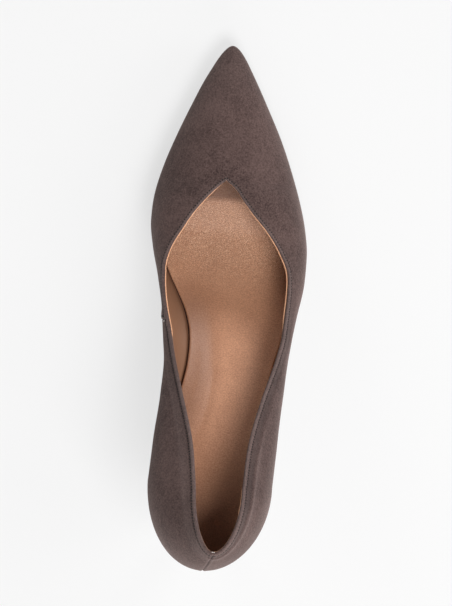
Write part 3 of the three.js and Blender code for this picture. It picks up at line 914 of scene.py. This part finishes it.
footbed = {
    "perMm": 0.7, "rows": 30, "round": 0.9, "roundSteps": 4, "underSteps": 3,
    "inset": 2.05,
    "waistGap": 0.45,  # added to the inset at the inner waist
    "pad": (-16.5, -72),  # middle of the arch pad, seen from above
    "padReach": (14.5, 37), "padHeight": 0.8,
    # Painted shade round the arch pad, as far as this ellipse reaches.
    "paintedShadeReach": (20, 42), "padPaintedShade": 0.55,
    "groove": 0.35,  # depth of the line behind the pad
}


def padDistance(point, reach):  # 1 on the ellipse of this reach round the pad's middle
    return math.hypot(*((place - middle) / half
                        for place, middle, half in zip(point, footbed["pad"], reach)))


def footbedRelief(point):
    away = padDistance(point, footbed["padReach"])
    padY = footbed["pad"][1]
    groove = footbed["groove"] * bell(away, 1.12, 0.12) * (1 - ramp(point.y, padY - 12, padY + 6))
    return footbed["padHeight"] * (1 - ramp(away, 0.6, 1.1)) - groove


def footbedColumn(station):  # points from under the spine round the edge and back to the spine
    zone, _, along, side = station
    low = wall["thickness"] + wall["gap"]
    high = low + wall["insole"]
    waist = bell(along, 0.46, 0.1) if zone == "side" and side < 0 else 0
    inset = footbed["inset"] + footbed["waistGap"] * waist
    r = min(footbed["round"], 0.25 * (spinePoint(station) - planPoint(feather, station)).length)
    under, steps, rows = footbed["underSteps"], footbed["roundSteps"], footbed["rows"]
    column = [platePoint(station, inset, 1 - k / under, low) for k in range(under + 1)]
    for k in range(steps + 1):
        angle = math.pi / 2 * k / steps
        column.append(platePoint(station, inset + r * (1 - math.cos(angle)), 0,
                                 high - r + r * math.sin(angle)))
    return column + [platePoint(station, inset + r, k / rows, high) for k in range(1, rows + 1)]


def makeFootbed():
    bm = bmesh.new()
    gridInto(bm, [footbedColumn(station) for station in circuitOf(footbed["perMm"])])
    weld(bm)
    for vert in bm.verts:
        if vert.normal.z > 0.5:
            vert.co.z += footbedRelief(vert.co / mm) * mm
    paintShadeOnLeather(bm)
    paintedShade = bm.verts.layers.float["paintedShade"]
    # Pale pearly specks of the grain, drawn only towards the front as a painted sheen.
    pearlGrainAndSheen = bm.verts.layers.float.new("pearlGrainAndSheen")
    # Painted shade round the arch pad, added to the leather's own painted shade.
    for vert in bm.verts:
        point = vert.co / mm
        away = padDistance(point, footbed["paintedShadeReach"])
        vert[paintedShade] += footbed["padPaintedShade"] * (1 - ramp(away, 0.45, 1.15))
        vert[pearlGrainAndSheen] = ramp(alongAt(point.y), 0.48, 0.62)
    return pieceFrom(bm, "footbed", footbedLeather, 50)


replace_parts(makeFootbed(), "insole")


heel = {
    "breast": 52,  # from the back of the heel
    "breastRadius": 55, "stemWidth": 9, "stemLength": 9.4, "stemSetback": 24,
    "topPiece": 6, "lip": 0.4, "inset": 0.4,
    "columns": 96, "levels": 60, "crowding": 1.25,  # of the levels, towards the seat
    "underSeat": (0.25, 0.5, 0.75, 1),  # rings in under the seat
    "frontCorner": 0.6,  # below 1, the outline's front corners are squarer than an ellipse's
    "breastRun": 12,  # how far the outline goes past the breast, which then cuts it
}
outsole = {
    "inset": 1.0,
    "toeInset": 0.12,  # added share of the inset ahead of the ball
    "round": 0.7, "roundSteps": 4, "above": 8, "across": 18,  # steps along the loop
    "stations": 120, "toeStations": 14,
    "breastFade": 0.1,  # how soon the sole's stations straighten out ahead of the breast
}
breastY = yAt(0) + heel["breast"]
stemMiddle = yAt(0) + heel["stemSetback"]


def breastCurve(x, gap=0.0):
    radius = heel["breastRadius"] - gap
    return breastY + heel["breastRadius"] - math.sqrt(max(0, radius**2 - x * x))


def soleEdge(side, along):
    inset, toeward = outsole["inset"], 1 + outsole["toeInset"]
    tip = feather["tip"] - inset / last["length"]
    if along < last["toeCentre"]:
        share = lerp(1, toeward, ramp(along, 0.7, 0.8))
        return across(featherRows, side, along) - side * inset * share
    left = math.sqrt(max(0, (tip - along) / (tip - last["toeCentre"])))
    narrowing = last["noseFullness"] * left + (1 - last["noseFullness"]) * left**2
    return (across(featherRows, side, last["toeCentre"]) - side * inset * toeward) * narrowing


# A loop round the sole: across under the upper, down the outer edge, back below, up the inner edge.
def soleLoop(inner, outer):
    top, bottom = -wall["gap"], -wall["gap"] - wall["outsole"]
    r, steps = outsole["round"], outsole["roundSteps"]
    nip = r * min(1, (outer - inner) / 4)
    above, below = outsole["above"], outsole["across"]

    def arc(side, edgeX):
        angles = [math.pi / 2 * k / steps for k in range(steps + 1)]
        return [(edgeX - side * nip * (1 - math.cos(a)), bottom + r * (1 - math.sin(a)))
                for a in angles]

    loop = [(lerp(inner, outer, k / above), top) for k in range(above + 1)] + arc(1, outer)
    loop += [(lerp(outer - nip, inner + nip, k / below), bottom) for k in range(1, below)]
    loop += arc(-1, inner)[::-1]
    return loop + loop[:1]


# Outsole: loops round it, from the heel's breast to the toe.
def makeOutsole():
    tip = feather["tip"] - outsole["inset"] / last["length"]
    start = alongAt(breastY + wall["gap"])
    count, toeCount = outsole["stations"], outsole["toeStations"]
    places = [lerp(start, last["toeCentre"], i / count) for i in range(count)]
    places += [tip - (tip - last["toeCentre"]) * (1 - i / toeCount) ** 2
               for i in range(toeCount + 1)]
    points = []
    for along in places:
        column = []
        fade = 1 - ramp(along, start, start + outsole["breastFade"])
        for x, height in soleLoop(soleEdge(-1, along), soleEdge(1, along)):
            y = yAt(along) + (breastCurve(x) - breastY) * fade
            column.append(Vector((x, y, seatHeight(x, y) + height)))
        points.append(column)
    bm = bmesh.new()
    gridInto(bm, points)
    weld(bm)
    bmesh.ops.holes_fill(bm, edges=[e for e in bm.edges if e.is_boundary], sides=0)
    bmesh.ops.recalc_face_normals(bm, faces=bm.faces)
    return pieceFrom(bm, "sole", soleResin, 35)


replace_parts(makeOutsole(), "outsole")


# Heel: outlines from the stem's foot up to the seat, then in under the seat.
heelShares = [  # down from the seat, width, back, front
    (0, 1, 1, 1), (0.05, 0.93, 0.96, 0.94), (0.1, 0.81, 0.87, 0.79), (0.17, 0.6, 0.7, 0.605),
    (0.25, 0.41, 0.52, 0.44), (0.36, 0.25, 0.34, 0.285), (0.5, 0.14, 0.19, 0.165),
    (0.7, 0.05, 0.07, 0.06), (1, 0, 0, 0),
]


def heelOutline(halfWidth, back, middle, front, count):
    def power(value, exponent):
        return math.copysign(abs(value) ** exponent, value)

    outline = []
    for i in range(count + 1):
        turn = i / count * 2 * math.pi
        ahead = math.sin(turn) > 1e-9
        exponent = heel["frontCorner"] if ahead else 1
        depth = front - middle if ahead else middle - back
        outline.append((halfWidth * power(math.cos(turn), exponent),
                        middle + depth * power(math.sin(turn), exponent)))
    return outline


def makeHeel():
    seatBack = yAt(feather["backAlong"]) + heel["inset"]
    seatHalf = across(featherRows, 1, last["heelCentre"]) - heel["inset"]
    stemHalf = heel["stemLength"] / 2
    foot = heel["topPiece"] + wall["gap"]
    count, levels = heel["columns"], heel["levels"]
    rings = []
    for level in range(levels + 1):
        down = (1 - level / levels) ** heel["crowding"]
        width, back, front = (readRows(heelShares, down, column) for column in (1, 2, 3))
        outline = heelOutline(
            lerp(heel["stemWidth"] / 2, seatHalf, width),
            lerp(stemMiddle - stemHalf, seatBack, back),
            lerp(stemMiddle, yAt(last["heelCentre"]), (back + front) / 2),
            lerp(stemMiddle + stemHalf, breastY + heel["breastRun"], front), count)
        ring = []
        for x, y in outline:
            y = min(y, breastCurve(x))
            top = seatHeight(x, y) - wall["gap"]
            ring.append(Vector((x, y, foot + (1 - down) * (top - foot))))
        rings.append(ring)
    centre = Vector((0, yAt(last["heelCentre"]), 0))
    for share in heel["underSeat"]:
        ring = []
        for point in rings[levels]:
            plan = Vector((point.x, point.y, 0)).lerp(centre, share)
            ring.append(raised(plan, seatHeight(plan.x, plan.y) - wall["gap"]))
        rings.append(ring)
    footCentre = Vector((0, stemMiddle, foot))
    rings.insert(0, [footCentre] * (count + 1))
    bm = bmesh.new()
    gridInto(bm, [list(column) for column in zip(*rings)])
    weld(bm)
    return pieceFrom(bm, "heel_covered", heelSuede, 50)


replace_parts(makeHeel(), "heel")


# Rows of the top piece: inset, and height from the ground or below its top. The first and the last
# inset close it.
topPieceFoot = [(9, 0), (0.35, 0), (0.1, 0.1), (0, 0.35)]
topPieceTop = [(0, 0.3), (0.1, 0.08), (0.4, 0), (9, 0)]


def makeTopPiece():
    rows = topPieceFoot + [(inset, heel["topPiece"] - drop) for inset, drop in topPieceTop]
    rings = []
    for inset, z in rows:
        half = max(0, heel["stemWidth"] / 2 + heel["lip"] - inset)
        length = max(0, heel["stemLength"] / 2 + heel["lip"] - inset)
        outline = heelOutline(half, stemMiddle - length, stemMiddle, stemMiddle + length, 64)
        rings.append([Vector((x, y, z)) for x, y in outline])
    bm = bmesh.new()
    gridInto(bm, [list(column) for column in zip(*rings)])
    weld(bm)
    return pieceFrom(bm, "heel_top_piece", heelRubber, 30)


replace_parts(makeTopPiece(), "top_piece")
print("pieces made")


# Floor, lights and camera. The floor glows a little, so that it is nearly as pale as the photo's.
stage = {"floor": 14, "floorTone": 0.2, "floorGlow": 0.668, "worldLight": 0.13}
white = (1, 1, 1, 1)


def makeFloor():
    bm = bmesh.new()
    bmesh.ops.create_grid(bm, x_segments=1, y_segments=1, size=stage["floor"])
    mesh = bpy.data.meshes.new("floor")
    bm.to_mesh(mesh)
    bm.free()
    floor = bpy.data.objects.new("floor", mesh)
    bpy.context.scene.collection.objects.link(floor)
    look = Look("pale floor", {
        "Base Color": (*[stage["floorTone"]] * 3, 1), "Roughness": 0.9, "Specular IOR Level": 0.1,
        "Emission Color": white, "Emission Strength": stage["floorGlow"]})
    mesh.materials.append(look.material)


makeFloor()
lights = {  # place, size, watts; each looks at the shoe
    "key": ((0.47, -0.85, 1.9), 0.9, 42),
    "outerSide": ((1.8, 0.0, 0.8), 1.0, 11),
    "heelSide": ((0.5, -1.9, 0.7), 1.0, 18.5),
    "toeOuter": ((1.1, 1.6, 0.6), 0.8, 20.5),
    "toeInner": ((-1.1, 1.6, 0.6), 0.8, 11),
    "innerSide": ((-1.8, -0.2, 1.2), 1.2, 1.5),
}
target = Vector((0.0, -0.04, 0.03))
for name, (place, size, power) in lights.items():
    light = bpy.data.lights.new(name, "AREA")
    light.shape = "SQUARE"
    light.size = size
    light.energy = power
    lamp = bpy.data.objects.new(name, light)
    lamp.location = place
    lamp.rotation_euler = (target - Vector(place)).to_track_quat("-Z", "Y").to_euler()
    lamp.visible_camera = False
    bpy.context.scene.collection.objects.link(lamp)

world = bpy.data.worlds.new("studio")
world.use_nodes = True
background = world.node_tree.nodes["Background"]
background.inputs["Color"].default_value = white
background.inputs["Strength"].default_value = stage["worldLight"]
bpy.context.scene.world = world
bpy.context.scene.view_settings.view_transform = "Standard"

# The camera hangs over the shoe, a little to its inner side, and is rolled as the photo is.
view = {
    "place": Vector((-0.0406, -0.0453, 1.6)), "aim": Vector((0.0035, -0.0422, 0.035)),
    "up": Vector((-0.0602, 0.9982, 0)),
    "pixelsPerMm": 2.0, "imageHeight": 606, "sensor": 36,
}
camera = bpy.data.objects.new("camera", bpy.data.cameras.new("camera"))
bpy.context.scene.collection.objects.link(camera)
backward = (view["place"] - view["aim"]).normalized()
rightward = view["up"].cross(backward).normalized()
turn = Matrix((rightward, backward.cross(rightward), backward)).transposed().to_4x4()
camera.matrix_world = Matrix.Translation(view["place"]) @ turn
camera.data.sensor_width = view["sensor"]  # across the long side, which is the image's height
photoHeight = view["imageHeight"] / view["pixelsPerMm"] * mm  # at the floor
camera.data.lens = view["sensor"] * view["place"].z / photoHeight
camera.data.clip_end = 20
bpy.context.scene.camera = camera
